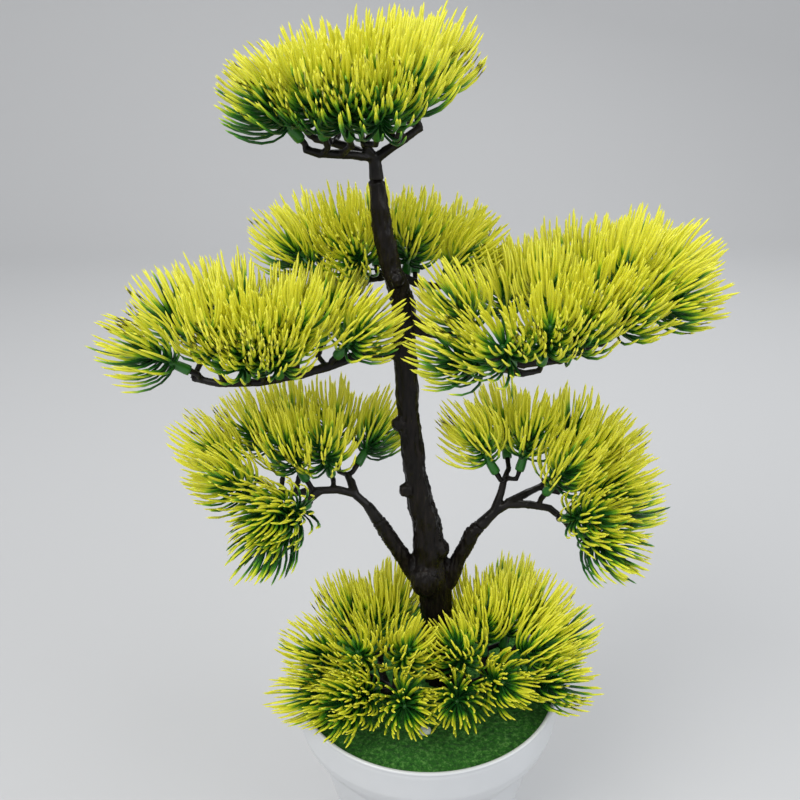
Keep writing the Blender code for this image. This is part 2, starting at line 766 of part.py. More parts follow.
def main():
    clear_scene()
    coll = new_collection("artificial_tabletop_tree")
    cutters = new_collection("cutters")
    white = material("pot_white", (0.82, 0.83, 0.85), 0.22)
    plaster = material("filler_grey", (0.45, 0.44, 0.42), 0.9)
    flock = material("mat_green", (0.05, 0.20, 0.05), 0.95)
    bark = material("trunk_brown", (0.030, 0.022, 0.020), 0.42)
    black = material("spray_black", (0.018, 0.018, 0.020), 0.38)
    glue = material("glue_white", (0.75, 0.76, 0.74), 0.5)
    green = material("needle_green", (0.45, 0.55, 0.03), 0.45)
    _, hollow = build_pot(coll, white)
    build_filler(hollow, coll, cutters, plaster)
    build_mat(hollow, coll, cutters, flock)
    build_blob(coll, cutters, glue)
    build_trunk(coll, bark)
    build_sprays(coll, cutters, black, green)
    for ob in cutters.objects:
        ob.hide_render = True
        ob.display_type = "WIRE"


main()
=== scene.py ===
import json
import math
import random

import bmesh
import bpy
import numpy as np
from mathutils import Matrix, Vector, noise


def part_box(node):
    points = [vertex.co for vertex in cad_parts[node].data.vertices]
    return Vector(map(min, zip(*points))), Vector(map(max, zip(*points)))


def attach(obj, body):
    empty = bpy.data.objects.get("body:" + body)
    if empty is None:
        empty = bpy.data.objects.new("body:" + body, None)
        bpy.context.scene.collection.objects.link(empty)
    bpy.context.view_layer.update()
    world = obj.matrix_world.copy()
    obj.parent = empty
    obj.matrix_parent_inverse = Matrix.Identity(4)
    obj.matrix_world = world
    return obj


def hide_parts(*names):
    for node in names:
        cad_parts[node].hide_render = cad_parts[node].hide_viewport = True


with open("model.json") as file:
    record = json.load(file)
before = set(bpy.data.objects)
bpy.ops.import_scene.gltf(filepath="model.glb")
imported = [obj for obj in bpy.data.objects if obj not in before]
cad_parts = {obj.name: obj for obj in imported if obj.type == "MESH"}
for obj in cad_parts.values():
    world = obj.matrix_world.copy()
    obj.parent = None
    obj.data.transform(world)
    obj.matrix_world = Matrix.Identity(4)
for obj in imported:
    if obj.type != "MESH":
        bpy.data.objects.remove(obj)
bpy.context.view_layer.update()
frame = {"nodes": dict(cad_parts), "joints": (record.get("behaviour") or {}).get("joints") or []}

# ---- the table top, the light and the camera ----
# A plain pale table that sweeps up behind the tree into a wall, lit by a large soft window
# from the upper left, a weaker fill from the right, a lamp from behind and a pale room.
TABLE_COLOUR = (0.50, 0.51, 0.52)
TABLE_FRONT = -2.5
TABLE_HALF_WIDTH = 4.0
BEND_START = 1.3
BEND_RADIUS = 0.6
BEND_STEPS = 12
WALL_TOP = 3.2
ROOM_COLOUR = (0.965, 0.965, 0.98)
ROOM_STRENGTH = 0.72
CAMERA_PLACE = (-0.0123, -0.3855, 0.4344)
CAMERA_DOWN = 23.6
CAMERA_LEAN = -0.75
CAMERA_LENS = 40.5


def sweep_mesh():
    """The table's top running back, then curving up into the wall."""
    mesh = bpy.data.meshes.new("table_sweep")
    bend = [(TABLE_FRONT, 0.0), (BEND_START, 0.0)]
    for step in range(1, BEND_STEPS + 1):
        angle = math.radians(90 * step / BEND_STEPS)
        bend.append((BEND_START + BEND_RADIUS * math.sin(angle),
                     BEND_RADIUS - BEND_RADIUS * math.cos(angle)))
    bend.append((BEND_START + BEND_RADIUS, WALL_TOP))
    verts = []
    faces = []
    for y, z in bend:
        verts += [(-TABLE_HALF_WIDTH, y, z), (TABLE_HALF_WIDTH, y, z)]
    for i in range(len(bend) - 1):
        faces.append((2 * i, 2 * i + 1, 2 * i + 3, 2 * i + 2))
    mesh.from_pydata(verts, [], faces)
    mesh.shade_smooth()
    return mesh


table = bpy.data.objects.new("table_sweep", sweep_mesh())
bpy.context.scene.collection.objects.link(table)
table.location.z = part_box("pot")[0][2]
table_paint = bpy.data.materials.new("table_paint")
table_paint.use_nodes = True
table_shader = table_paint.node_tree.nodes["Principled BSDF"]
table_shader.inputs["Base Color"].default_value = (*TABLE_COLOUR, 1.0)
table_shader.inputs["Roughness"].default_value = 0.55
table.data.materials.append(table_paint)


def soft_light(name, place, aim, size, power, colour):
    """A round lamp that faces a place."""
    lamp = bpy.data.lights.new(name, "AREA")
    lamp.shape = "DISK"
    lamp.size = size
    lamp.energy = power
    lamp.color = colour
    ob = bpy.data.objects.new(name, lamp)
    bpy.context.scene.collection.objects.link(ob)
    ob.location = place
    ob.rotation_euler = (Vector(aim) - Vector(place)).to_track_quat("-Z", "Y").to_euler()


soft_light("window_light", place=(-0.9, -0.9, 1.5), aim=(0, 0, 0.25), size=1.3, power=20,
           colour=(1.0, 0.98, 0.95))
soft_light("fill_light", place=(1.3, -0.7, 0.9), aim=(0, 0, 0.25), size=1.2, power=8,
           colour=(0.95, 0.97, 1.0))
soft_light("back_light", place=(0.3, 1.1, 1.3), aim=(0, 0, 0.3), size=0.9, power=9,
           colour=(1.0, 1.0, 1.0))

room = bpy.data.worlds.new("pale_room")
bpy.context.scene.world = room
room.use_nodes = True
backdrop = room.node_tree.nodes["Background"]
backdrop.inputs["Color"].default_value = (*ROOM_COLOUR, 1.0)
backdrop.inputs["Strength"].default_value = ROOM_STRENGTH
bpy.context.scene.view_settings.view_transform = "Standard"

camera = bpy.data.objects.new("camera", bpy.data.cameras.new("camera"))
bpy.context.scene.collection.objects.link(camera)
camera.data.lens = CAMERA_LENS
camera.data.sensor_width = 36.0
camera.data.clip_start = 0.01
camera.location = CAMERA_PLACE
camera.rotation_mode = "QUATERNION"
camera.rotation_quaternion = (
    Matrix.Rotation(math.radians(90 - CAMERA_DOWN), 4, "X")
    @ Matrix.Rotation(math.radians(CAMERA_LEAN), 4, "Z")
).to_quaternion()
bpy.context.scene.camera = camera

# ---- pot ----
# A thin moulded pot in glossy white melamine-like plastic. Its upright band under the lip is
# plain, and the bowl below it has soft scallops pressed into it.
POT_SIDES = 240
POT_ROWS = 90
POT_WALL = 0.0024
POT_LIP = 0.0026
POT_BAND = 0.019
POT_FOOT_RIM = 0.0012
POT_SCALLOPS = 14
SCALLOP_STEP = 0.0009
SCALLOP_WAVE = 0.0007
POT_WHITE = (0.62, 0.64, 0.66)
POT_HAZE = (0.57, 0.59, 0.61)


def new_piece(name, mesh, body):
    """Puts a finished mesh into the scene as a piece that rides on a body."""
    ob = bpy.data.objects.new(name, mesh)
    bpy.context.scene.collection.objects.link(ob)
    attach(ob, body)
    return ob


def plastic(name, colour, roughness):
    """A new material with its Principled shader and its node tree."""
    mat = bpy.data.materials.new(name)
    mat.use_nodes = True
    shader = mat.node_tree.nodes["Principled BSDF"]
    shader.inputs["Base Color"].default_value = (*colour, 1.0)
    shader.inputs["Roughness"].default_value = roughness
    return mat, shader, mat.node_tree


def grain(tree, scale, detail, stretch=(1, 1, 1), rough=0.5):
    """A noise over the piece's own coordinates."""
    place = tree.nodes.new("ShaderNodeTexCoord")
    squeeze = tree.nodes.new("ShaderNodeMapping")
    squeeze.inputs["Scale"].default_value = stretch
    speckle = tree.nodes.new("ShaderNodeTexNoise")
    speckle.inputs["Scale"].default_value = scale
    speckle.inputs["Detail"].default_value = detail
    speckle.inputs["Roughness"].default_value = rough
    tree.links.new(place.outputs["Object"], squeeze.inputs["Vector"])
    tree.links.new(squeeze.outputs["Vector"], speckle.inputs["Vector"])
    return speckle.outputs["Fac"]


def steps_of(tree, value, stops):
    """A colour ramp over a value, from (place, colour) stops."""
    ramp = tree.nodes.new("ShaderNodeValToRGB")
    while len(ramp.color_ramp.elements) < len(stops):
        ramp.color_ramp.elements.new(0.5)
    for element, (spot, colour) in zip(ramp.color_ramp.elements, stops):
        element.position = spot
        element.color = (*colour, 1.0)
    tree.links.new(value, ramp.inputs["Fac"])
    return ramp.outputs["Color"]


def level_of(tree, value, low, high, start=0.0, end=1.0):
    """A value stretched to run from low to high."""
    stretch = tree.nodes.new("ShaderNodeMapRange")
    stretch.inputs["From Min"].default_value = start
    stretch.inputs["From Max"].default_value = end
    stretch.inputs["To Min"].default_value = low
    stretch.inputs["To Max"].default_value = high
    tree.links.new(value, stretch.inputs["Value"])
    return stretch.outputs["Result"]


def bumped(tree, shader, height, strength, distance):
    """Roughens a shader's surface by a height."""
    bump = tree.nodes.new("ShaderNodeBump")
    bump.inputs["Strength"].default_value = strength
    bump.inputs["Distance"].default_value = distance
    tree.links.new(height, bump.inputs["Height"])
    tree.links.new(bump.outputs["Normal"], shader.inputs["Normal"])


def rings_of_pot():
    """The CAD pot's widest radius at each height where it has corners."""
    rings = {}
    for corner in frame["nodes"]["pot"].data.vertices:
        height = round(corner.co.z, 5)
        radius = round(math.hypot(corner.co.x, corner.co.y), 5)
        rings[height] = max(radius, rings.get(height, 0.0))
    return rings


pot_low, pot_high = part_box("pot")
pot_mouth = (pot_high[0] - pot_low[0]) / 2
pot_top = pot_high[2]
pot_base = pot_low[2]
pot_rings = rings_of_pot()
pot_foot = max(radius for height, radius in pot_rings.items() if height < pot_base + 0.002)


def widest_at(height):
    """The CAD pot's outer radius at a height."""
    outer = sorted(level for level, radius in pot_rings.items() if radius > pot_foot * 0.96)
    below = max([level for level in outer if level <= height], default=outer[0])
    above = min([level for level in outer if level >= height], default=outer[-1])
    share = 0.0 if above == below else (height - below) / (above - below)
    return pot_rings[below] + (pot_rings[above] - pot_rings[below]) * share


def scallop(angle, height):
    """How far the pressed scallops are set into the bowl, as a negative number."""
    band_edge = pot_top - POT_BAND
    down = (band_edge - height) / (band_edge - pot_base)
    if down <= 0.0:
        return 0.0
    wave = abs(math.sin(angle * POT_SCALLOPS / 2))
    crest = down - 0.04 - 0.10 * wave
    fold = max(0.0, min(1.0, crest / 0.05))
    fade = max(0.0, min(1.0, (1.0 - down) / 0.12))
    soft = 0.5 + 0.5 * math.cos(angle * POT_SCALLOPS)
    step = -SCALLOP_STEP * fold * (3 - 2 * fold) * fold
    return (step - SCALLOP_WAVE * soft * fold) * fade


def make_pot():
    """One turned skin: inside the mouth, over the lip, down the outside and under the foot."""
    mat_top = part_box("grass_mat")[1][2]
    inner = pot_mouth - POT_WALL
    lip_height = pot_top - POT_LIP * 0.5
    outline = [(inner - 0.0004, mat_top - 0.0025)]
    for step in range(5):
        height = mat_top - 0.002 + (lip_height - mat_top + 0.002) * step / 4
        outline.append((inner - 0.0001, height))
    for step in range(1, 10):
        angle = math.pi * (1 - step / 10)
        outline.append((
            pot_mouth - POT_WALL / 2 + math.cos(angle) * POT_WALL / 2,
            lip_height + math.sin(angle) * POT_LIP * 0.5,
        ))
    outside_from = len(outline)
    for row in range(POT_ROWS + 1):
        height = lip_height - (lip_height - pot_base - POT_FOOT_RIM) * row / POT_ROWS
        outline.append((min(widest_at(height), pot_mouth), height))
    for inset, lift in ((0.0006, 0.0003), (0.0016, 0.0), (0.0060, 0.0), (0.0068, POT_FOOT_RIM)):
        outline.append((pot_foot - inset, pot_base + lift))
    outline.append((0.0004, pot_base + POT_FOOT_RIM))
    bm = bmesh.new()
    rings = []
    for index, (radius, height) in enumerate(outline):
        outside = index >= outside_from and radius > pot_foot * 0.98
        ring = []
        for side in range(POT_SIDES):
            angle = 2 * math.pi * side / POT_SIDES
            r = radius + (scallop(angle, height) if outside else 0.0)
            ring.append(bm.verts.new((r * math.cos(angle), r * math.sin(angle), height)))
        rings.append(ring)
    for low, high in zip(rings, rings[1:]):
        for side in range(POT_SIDES):
            after = (side + 1) % POT_SIDES
            bm.faces.new((low[side], high[side], high[after], low[after]))
    bm.faces.new(rings[-1])
    bmesh.ops.recalc_face_normals(bm, faces=bm.faces)
    mesh = bpy.data.meshes.new("pot_moulded")
    bm.to_mesh(mesh)
    bm.free()
    mesh.shade_smooth()
    return mesh


pot_white, shader, tree = plastic("pot_white", POT_WHITE, roughness=0.28)
shader.inputs["Coat Weight"].default_value = 0.25
shader.inputs["Coat Roughness"].default_value = 0.12
haze = grain(tree, scale=22.0, detail=4.0)
tree.links.new(steps_of(tree, haze, [(0.3, POT_HAZE), (0.7, POT_WHITE)]),
               shader.inputs["Base Color"])
tree.links.new(level_of(tree, haze, low=0.24, high=0.36), shader.inputs["Roughness"])
bumped(tree, shader, grain(tree, scale=900.0, detail=2.0), strength=0.05, distance=0.0002)
pot = new_piece("pot_moulded", make_pot(), "planter")
pot.data.materials.append(pot_white)
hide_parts("pot")

# ---- filler ----
# A block of pale foamed plaster that holds the trunk's root and the ground sprays' stems. It
# is hidden under the mat, so the solid itself is kept and given its chalky surface.
FILLER_GREY = (0.42, 0.41, 0.39)
FILLER_DARK = (0.30, 0.29, 0.27)
FILLER_PALE = (0.52, 0.51, 0.49)

filler_grey, shader, tree = plastic("filler_grey", FILLER_GREY, roughness=0.92)
crumbs = grain(tree, scale=260.0, detail=6.0)
tree.links.new(steps_of(tree, crumbs, [(0.3, FILLER_DARK), (0.7, FILLER_PALE)]),
               shader.inputs["Base Color"])
bumped(tree, shader, crumbs, strength=0.6, distance=0.001)
filler = frame["nodes"]["filler"]
filler.data.materials.clear()
filler.data.materials.append(filler_grey)

# ---- grass mat ----
# A disc of dark green flock on a thin backing, cut by hand, so its edge is ragged where it
# meets the pot's wall. The flock is a deep crumb with a few lighter grains in it.
MAT_GRID = 0.00075
MAT_ROW = 0.87
MAT_INSET = 0.0022
MAT_FRAYED = 0.0022
MAT_DARK = (0.009, 0.058, 0.007)
MAT_MID = (0.028, 0.150, 0.014)
MAT_LIGHT = (0.13, 0.32, 0.07)


def make_mat():
    """A fine grid of triangles cut to a disc and crumbled, with its rim drawn down."""
    low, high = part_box("grass_mat")
    edge = pot_mouth - MAT_INSET
    count = int(edge / MAT_GRID / MAT_ROW) + 1
    bm = bmesh.new()
    spots = {}
    for i in range(-count, count + 1):
        for j in range(-count, count + 1):
            x = (i + (0.5 if j % 2 else 0.0)) * MAT_GRID
            y = j * MAT_GRID * MAT_ROW
            away = math.hypot(x, y)
            if away > edge:
                continue
            tuft = noise.noise(Vector((x * 420, y * 420, 0.0)))
            clump = noise.noise(Vector((x * 110, y * 110, 5.0)))
            grit = noise.noise(Vector((x * 1300, y * 1300, 9.0)))
            height = high[2] - 0.0006 + 0.0007 * tuft + 0.0005 * clump + 0.0007 * grit
            angle = math.atan2(y, x)
            ragged = noise.noise(Vector((math.cos(angle) * 14, math.sin(angle) * 14, 3.0)))
            fuzz = noise.noise(Vector((math.cos(angle) * 70, math.sin(angle) * 70, 8.0)))
            near_edge = max(0.0, 1 - (edge - away) / MAT_FRAYED)
            height += near_edge * near_edge * (0.0007 + 0.0009 * ragged + 0.0010 * fuzz)
            spots[(i, j)] = bm.verts.new((x, y, height))
    for (i, j), vert in spots.items():
        shift = 0 if j % 2 == 0 else 1
        right = spots.get((i + 1, j))
        up = spots.get((i + shift - 1, j + 1))
        up_right = spots.get((i + shift, j + 1))
        if right and up_right:
            bm.faces.new((vert, right, up_right))
        if up and up_right:
            bm.faces.new((vert, up_right, up))
    # The rim is drawn down edge by edge, which keeps its faces in the same order each run.
    rim = []
    for border in [e.link_loops[0] for e in bm.edges if e.is_boundary]:
        rim.append((border.vert, border.link_loop_next.vert))
    drawn_down = {}
    for vert in [v for pair in rim for v in pair]:
        if vert not in drawn_down:
            drawn_down[vert] = bm.verts.new((vert.co.x, vert.co.y, low[2] + 0.0002))
    for start, end in rim:
        bm.faces.new((end, start, drawn_down[start], drawn_down[end]))
    mesh = bpy.data.meshes.new("grass_flock")
    bm.to_mesh(mesh)
    bm.free()
    mesh.shade_smooth()
    return mesh


mat_green, shader, tree = plastic("mat_green", MAT_MID, roughness=0.95)
flock = grain(tree, scale=480.0, detail=6.0, rough=0.75)
tree.links.new(
    steps_of(tree, flock, [(0.36, MAT_DARK), (0.52, MAT_MID), (0.66, MAT_LIGHT)]),
    shader.inputs["Base Color"])
shader.inputs["Specular IOR Level"].default_value = 0.25
shader.inputs["Sheen Weight"].default_value = 0.06
bumped(tree, shader, flock, strength=0.8, distance=0.0008)
grass = new_piece("grass_flock", make_mat(), "planter")
grass.data.materials.append(mat_green)
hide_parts("grass_mat")

# ---- glue blob ----
# A drop of hot glue that was left on the mat in front of the sprays: cloudy white, with a
# soft lopsided dome.
GLUE_WHITE = (0.72, 0.76, 0.72)
GLUE_GREENISH = (0.60, 0.68, 0.60)
GLUE_CLOUDY = (0.78, 0.80, 0.77)
BLOB_DEPTH = 0.9
BLOB_HEIGHT = 0.62
BLOB_SUNK = 0.3
BLOB_LUMPS = 0.16

glue_white, shader, tree = plastic("glue_white", GLUE_WHITE, roughness=0.35)
shader.inputs["Subsurface Weight"].default_value = 0.3
shader.inputs["Subsurface Radius"].default_value = (0.002, 0.002, 0.002)
clouds = grain(tree, scale=300.0, detail=3.0)
tree.links.new(steps_of(tree, clouds, [(0.3, GLUE_GREENISH), (0.7, GLUE_CLOUDY)]),
               shader.inputs["Base Color"])


def make_blob():
    """A lumpy ball, flattened, with its underside cut off where it lies on the mat."""
    low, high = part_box("glue_blob")
    middle = (Vector(low) + Vector(high)) / 2
    size = (high[0] - low[0]) / 2
    bm = bmesh.new()
    bmesh.ops.create_icosphere(bm, subdivisions=4, radius=size)
    for v in bm.verts:
        lump = 1 + BLOB_LUMPS * noise.noise(v.co * 500 + Vector((3, 1, 7)))
        height = max(v.co.z, -size * BLOB_SUNK) * BLOB_HEIGHT * lump
        v.co = Vector((v.co.x * lump, v.co.y * lump * BLOB_DEPTH, height))
        v.co += Vector((middle.x, middle.y, low[2]))
    mesh = bpy.data.meshes.new("glue_drop")
    bm.to_mesh(mesh)
    bm.free()
    mesh.shade_smooth()
    return mesh


blob = new_piece("glue_drop", make_blob(), "planter")
blob.data.materials.append(glue_white)
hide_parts("glue_blob")

# ---- trunk ----
# The trunk is one moulding in near-black brown plastic, with its knots and the pegs that the
# sprays are pushed on to. The mould's bark is long grooves with a fine grain over them.
BARK_VOXEL = 0.00085
BARK_GROOVE = 0.0016
BARK_PROUD = 0.0004
BARK_FINE = 0.0004
BARK_SWELL = 0.0009
BARK_DARK = (0.0040, 0.0032, 0.0028)
BARK_MID = (0.008, 0.006, 0.005)
BARK_LIGHT = (0.018, 0.013, 0.010)


def smooth_copy(node, voxel, passes):
    """A node's solid as an even skin of small faces with its joins rounded off."""
    ob = bpy.data.objects.new(node + "_skin", frame["nodes"][node].data.copy())
    bpy.context.scene.collection.objects.link(ob)
    weld = ob.modifiers.new("weld", "WELD")
    weld.merge_threshold = 0.00001
    even = ob.modifiers.new("even", "REMESH")
    even.mode = "VOXEL"
    even.voxel_size = voxel
    even.use_smooth_shade = True
    relax = ob.modifiers.new("relax", "SMOOTH")
    relax.factor = 0.5
    relax.iterations = passes
    bpy.context.view_layer.update()
    seen = ob.evaluated_get(bpy.context.evaluated_depsgraph_get())
    mesh = bpy.data.meshes.new_from_object(seen)
    bpy.data.objects.remove(ob, do_unlink=True)
    mesh.materials.clear()
    return mesh


def carve(mesh, depth_at):
    """Moves every point of a mesh along its normal by depth_at(place, normal)."""
    count = len(mesh.vertices)
    places = np.empty(count * 3)
    normals = np.empty(count * 3)
    mesh.vertices.foreach_get("co", places)
    mesh.vertices.foreach_get("normal", normals)
    places = places.reshape(-1, 3)
    normals = normals.reshape(-1, 3)
    depth = np.array([depth_at(Vector(p), Vector(n)) for p, n in zip(places, normals)])
    mesh.vertices.foreach_set("co", (places + normals * depth[:, None]).ravel())
    mesh.update()


def bark(place, normal):
    """Long grooves that wander up the stem, with a fine grain and slow swellings."""
    across = Vector((place.x * 620, place.y * 620, place.z * 70))
    groove = noise.noise(across)
    fine = noise.noise(Vector((place.x * 1500, place.y * 1500, place.z * 260)))
    swell = noise.noise(place * 95)
    level = 1.0 - min(1.0, abs(normal.z) ** 4)
    ridge = -abs(groove) * BARK_GROOVE + BARK_PROUD
    return (ridge + BARK_FINE * fine + BARK_SWELL * swell) * level


bark_brown, shader, tree = plastic("bark_brown", BARK_DARK, roughness=0.42)
streak = grain(tree, scale=90.0, detail=5.0, stretch=(7, 7, 1))
worn = grain(tree, scale=38.0, detail=3.0)
tree.links.new(
    steps_of(tree, streak, [(0.34, BARK_DARK), (0.56, BARK_MID), (0.74, BARK_LIGHT)]),
    shader.inputs["Base Color"])
shader.inputs["Specular IOR Level"].default_value = 0.16
tree.links.new(level_of(tree, worn, low=0.24, high=0.44, start=0.3, end=0.7),
               shader.inputs["Roughness"])
scratches = grain(tree, scale=420.0, detail=5.0, stretch=(4, 4, 1))
bumped(tree, shader, scratches, strength=0.45, distance=0.0006)
trunk_mesh = smooth_copy("trunk", BARK_VOXEL, passes=6)
carve(trunk_mesh, bark)
trunk = new_piece("trunk_bark", trunk_mesh, "planter")
trunk.data.materials.append(bark_brown)
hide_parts("trunk")

# ---- sprays ----
# Each spray is a fan of short arms and twigs in satin black plastic, moulded flat and bent to
# shape. Its sleeve is pushed over a peg on the trunk; the ground sprays stand in the mat.
SPRAY_VOXEL = 0.00052
SPRAY_UNEVEN = 0.00022
SPRAY_NUB = 0.0009
SPRAY_BLACK = (0.006, 0.0048, 0.0044)
SPRAY_DARK = (0.0034, 0.0028, 0.0026)
SPRAY_WORN = (0.013, 0.011, 0.010)
SPRAY_BODIES = {
    "spray_top": "top_spray",
    "spray_midback": "midback_spray",
    "spray_upleft": "upleft_spray",
    "spray_upright": "upright_spray",
    "spray_lowleft": "lowleft_spray",
    "spray_lowright": "lowright_spray",
    "spray_ground_left": "planter",
    "spray_ground_right": "planter",
}


def twig_skin(place, normal):
    """Slow unevenness of a thin moulding, and small nubs where it was trimmed."""
    nub = max(0.0, noise.noise(place * 330 + Vector((9, 4, 2))) - 0.35)
    return SPRAY_UNEVEN * noise.noise(place * 210) + SPRAY_NUB * nub


spray_black, shader, tree = plastic("spray_black", SPRAY_BLACK, roughness=0.42)
shader.inputs["Specular IOR Level"].default_value = 0.20
mottle = grain(tree, scale=130.0, detail=4.0)
tree.links.new(steps_of(tree, mottle, [(0.35, SPRAY_DARK), (0.7, SPRAY_WORN)]),
               shader.inputs["Base Color"])
tree.links.new(level_of(tree, mottle, low=0.30, high=0.50, start=0.3, end=0.7),
               shader.inputs["Roughness"])
bumped(tree, shader, grain(tree, scale=600.0, detail=4.0), strength=0.25, distance=0.0004)
for node, body in SPRAY_BODIES.items():
    skin = smooth_copy(node, SPRAY_VOXEL, passes=3)
    carve(skin, twig_skin)
    piece = new_piece(node + "_moulding", skin, body)
    piece.data.materials.append(spray_black)
    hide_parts(node)

# ---- needle heads ----
# A bottle-brush of soft green needles moulded on a hollow stem that is pushed over a twig's
# peg. The finished sprays are dusted with yellow paint from above and outside, so each
# needle is yellow from its tip down to where the needles around it shade it. Its bare green
# is darkened with painted shade where the least paint is.
STEM_RADIUS = 0.0023
STEM_SIDES = 12
# The stem's outline from inside its socket to its top: height over the foot, and radius.
STEM = ((0.0055, 0.0012), (0.0, 0.0013), (0.0, STEM_RADIUS), (0.0015, STEM_RADIUS * 1.05),
        (0.0066, STEM_RADIUS * 0.92), (0.0084, 0.0017), (0.0180, 0.0014), (0.0240, 0.0010))
STEM_TONE = 0.7
NEEDLES = 80
NEEDLE_SIDES = 4
NEEDLE_STEPS = (0.0, 0.16, 0.34, 0.54, 0.74, 0.92, 1.0)
NEEDLE_GIRTH = (1.0, 1.0, 1.0, 0.96, 0.88, 0.66)
NEEDLE_RADIUS = 0.00064
NEEDLE_TURN = 2.39996
NEEDLE_COMB = 0.32
HEART_HEIGHT = 0.018
FACING_HEIGHT = 0.014
# The paint comes from above and a little from the front, and from outside the spray.
PAINT_WAY = Vector((0, -0.15, 1.0))
PAINT_OUTWARD = 0.5
PAINT_DEPTH = 0.35
PAINT_FADE = 0.46
PAINT_LOST_IN_SHADE = 0.34
PAINT_MISSED = 0.40
# From bare green plastic, darkened as painted shade, to full paint; then the tones that
# the needles are multiplied by.
PAINT_STOPS_WITH_SHADE = (
    # The darkest green is painted shade: it lands on the least painted points, the needles'
    # bases, the stems and the needles under the spray.
    (0.0, (0.008, 0.075, 0.010)),
    (0.25, (0.026, 0.190, 0.016)),
    (0.50, (0.210, 0.450, 0.020)),
    (0.74, (0.735, 0.795, 0.036)),
    (1.0, (0.830, 0.805, 0.056)),
)
TONE_STOPS = ((0.0, (0.84, 0.88, 0.74)), (0.35, (0.95, 0.97, 0.90)), (1.0, (1.0, 1.0, 1.0)))
# Each needle and each part of the stem is laid flat in a strip of its own.
STRIPS = NEEDLES + 4


def needle_paint_and_shade():
    """Green plastic under yellow paint, from each point's share of paint, its barest green
    darkened as painted shade.
    """
    mat, shader, tree = plastic("needle_paint_and_shade", (0.5, 0.55, 0.02), roughness=0.40)
    paint = tree.nodes.new("ShaderNodeAttribute")
    paint.attribute_name = "paint"
    tone = tree.nodes.new("ShaderNodeAttribute")
    tone.attribute_name = "tone"
    # The least painted points get the darkest green, which is painted shade.
    colour = steps_of(tree, paint.outputs["Fac"], PAINT_STOPS_WITH_SHADE)
    shade = tree.nodes.new("ShaderNodeMix")
    shade.data_type = "RGBA"
    shade.blend_type = "MULTIPLY"
    # A Mix node has several sockets of each name, so its colour ones go by number.
    amount, first, second = shade.inputs[0], shade.inputs[6], shade.inputs[7]
    mixed = shade.outputs[2]
    amount.default_value = 1.0
    tree.links.new(colour, first)
    tree.links.new(steps_of(tree, tone.outputs["Fac"], TONE_STOPS), second)
    tree.links.new(mixed, shader.inputs["Base Color"])
    dust = grain(tree, scale=160.0, detail=3.0)
    tree.links.new(level_of(tree, dust, low=0.32, high=0.50, start=0.3, end=0.7),
                   shader.inputs["Roughness"])
    shader.inputs["Subsurface Weight"].default_value = 0.25
    shader.inputs["Subsurface Radius"].default_value = (1.0, 0.9, 0.2)
    shader.inputs["Subsurface Scale"].default_value = 0.0012
    return mat


needle_mat = needle_paint_and_shade()


def across_of(way):
    """Two directions at right angles to a way and to each other."""
    side = way.orthogonal().normalized()
    return side, way.cross(side).normalized()


def strip_of(strip):
    """The lower and the upper edge of a strip."""
    return (strip + 0.12) / STRIPS, (strip + 0.88) / STRIPS


class Brush:
    """One head as it is put together: points with their paint, faces with flat corners."""

    def __init__(self):
        self.verts = []
        self.paint = []
        self.tone = []
        self.faces = []
        self.corners = []

    def point(self, place, painted, tone):
        """Adds a point and gives its number."""
        self.verts.append(place)
        self.paint.append(painted)
        self.tone.append(tone)
        return len(self.verts) - 1

    def ring(self, centre, way, radius, sides, painted, tone, turn=0.0):
        """Adds a ring of points around a centre and gives the number of the first."""
        side, other = across_of(way)
        first = len(self.verts)
        for k in range(sides):
            angle = 2 * math.pi * k / sides + turn
            out = side * math.cos(angle) + other * math.sin(angle)
            self.point(centre + out * radius, painted, tone)
        return first

    def join(self, first, second, sides, strip, start, end):
        """Fills in between two rings, laid flat in a strip from start to end."""
        low, high = strip_of(strip)
        for k in range(sides):
            after = (k + 1) % sides
            self.faces.append((first + k, first + after, second + after, second + k))
            self.corners.append(((start, low), (start, high), (end, high), (end, low)))

    def cap(self, first, sides, strip):
        """Closes a ring with one face."""
        self.faces.append(tuple(first + k for k in range(sides)))
        turns = [2 * math.pi * k / sides for k in range(sides)]
        self.corners.append(tuple(
            (0.5 + 0.4 * math.cos(turn), (strip + 0.4 * math.sin(turn)) / STRIPS)
            for turn in turns))

    def tip(self, first, place, strip, start, painted, tone):
        """Closes a ring to a point."""
        low, high = strip_of(strip)
        end = self.point(place, painted, tone)
        for k in range(NEEDLE_SIDES):
            self.faces.append((first + k, first + (k + 1) % NEEDLE_SIDES, end))
            self.corners.append(((start, low), (start, high), (1.0, (low + high) / 2)))

    def mesh(self, name):
        """The finished mesh, with its paint, its tones and its flat corners."""
        mesh = bpy.data.meshes.new(name)
        mesh.from_pydata([tuple(v) for v in self.verts], [], self.faces)
        for label, values in (("paint", self.paint), ("tone", self.tone)):
            layer = mesh.attributes.new(label, "FLOAT", "POINT")
            layer.data.foreach_set("value", values)
        flat = mesh.uv_layers.new(name="OFBake")
        flat.data.foreach_set(
            "uv", [value for face in self.corners for pair in face for value in pair])
        mesh.shade_smooth()
        mesh.materials.append(needle_mat)
        return mesh


def add_stem(brush, foot, way):
    """The stem: out of its socket, over the collar and up between the needles."""
    parts = len(STEM) - 1
    last = None
    for number, (height, radius) in enumerate(STEM):
        painted = 0.16 if height < 0.01 else 0.05
        now = brush.ring(foot + way * height, way, radius, STEM_SIDES, painted, STEM_TONE)
        if last is not None:
            brush.join(last, now, STEM_SIDES, NEEDLES + 1, (number - 1) / parts, number / parts)
        last = now
    brush.cap(last, STEM_SIDES, NEEDLES + 3)


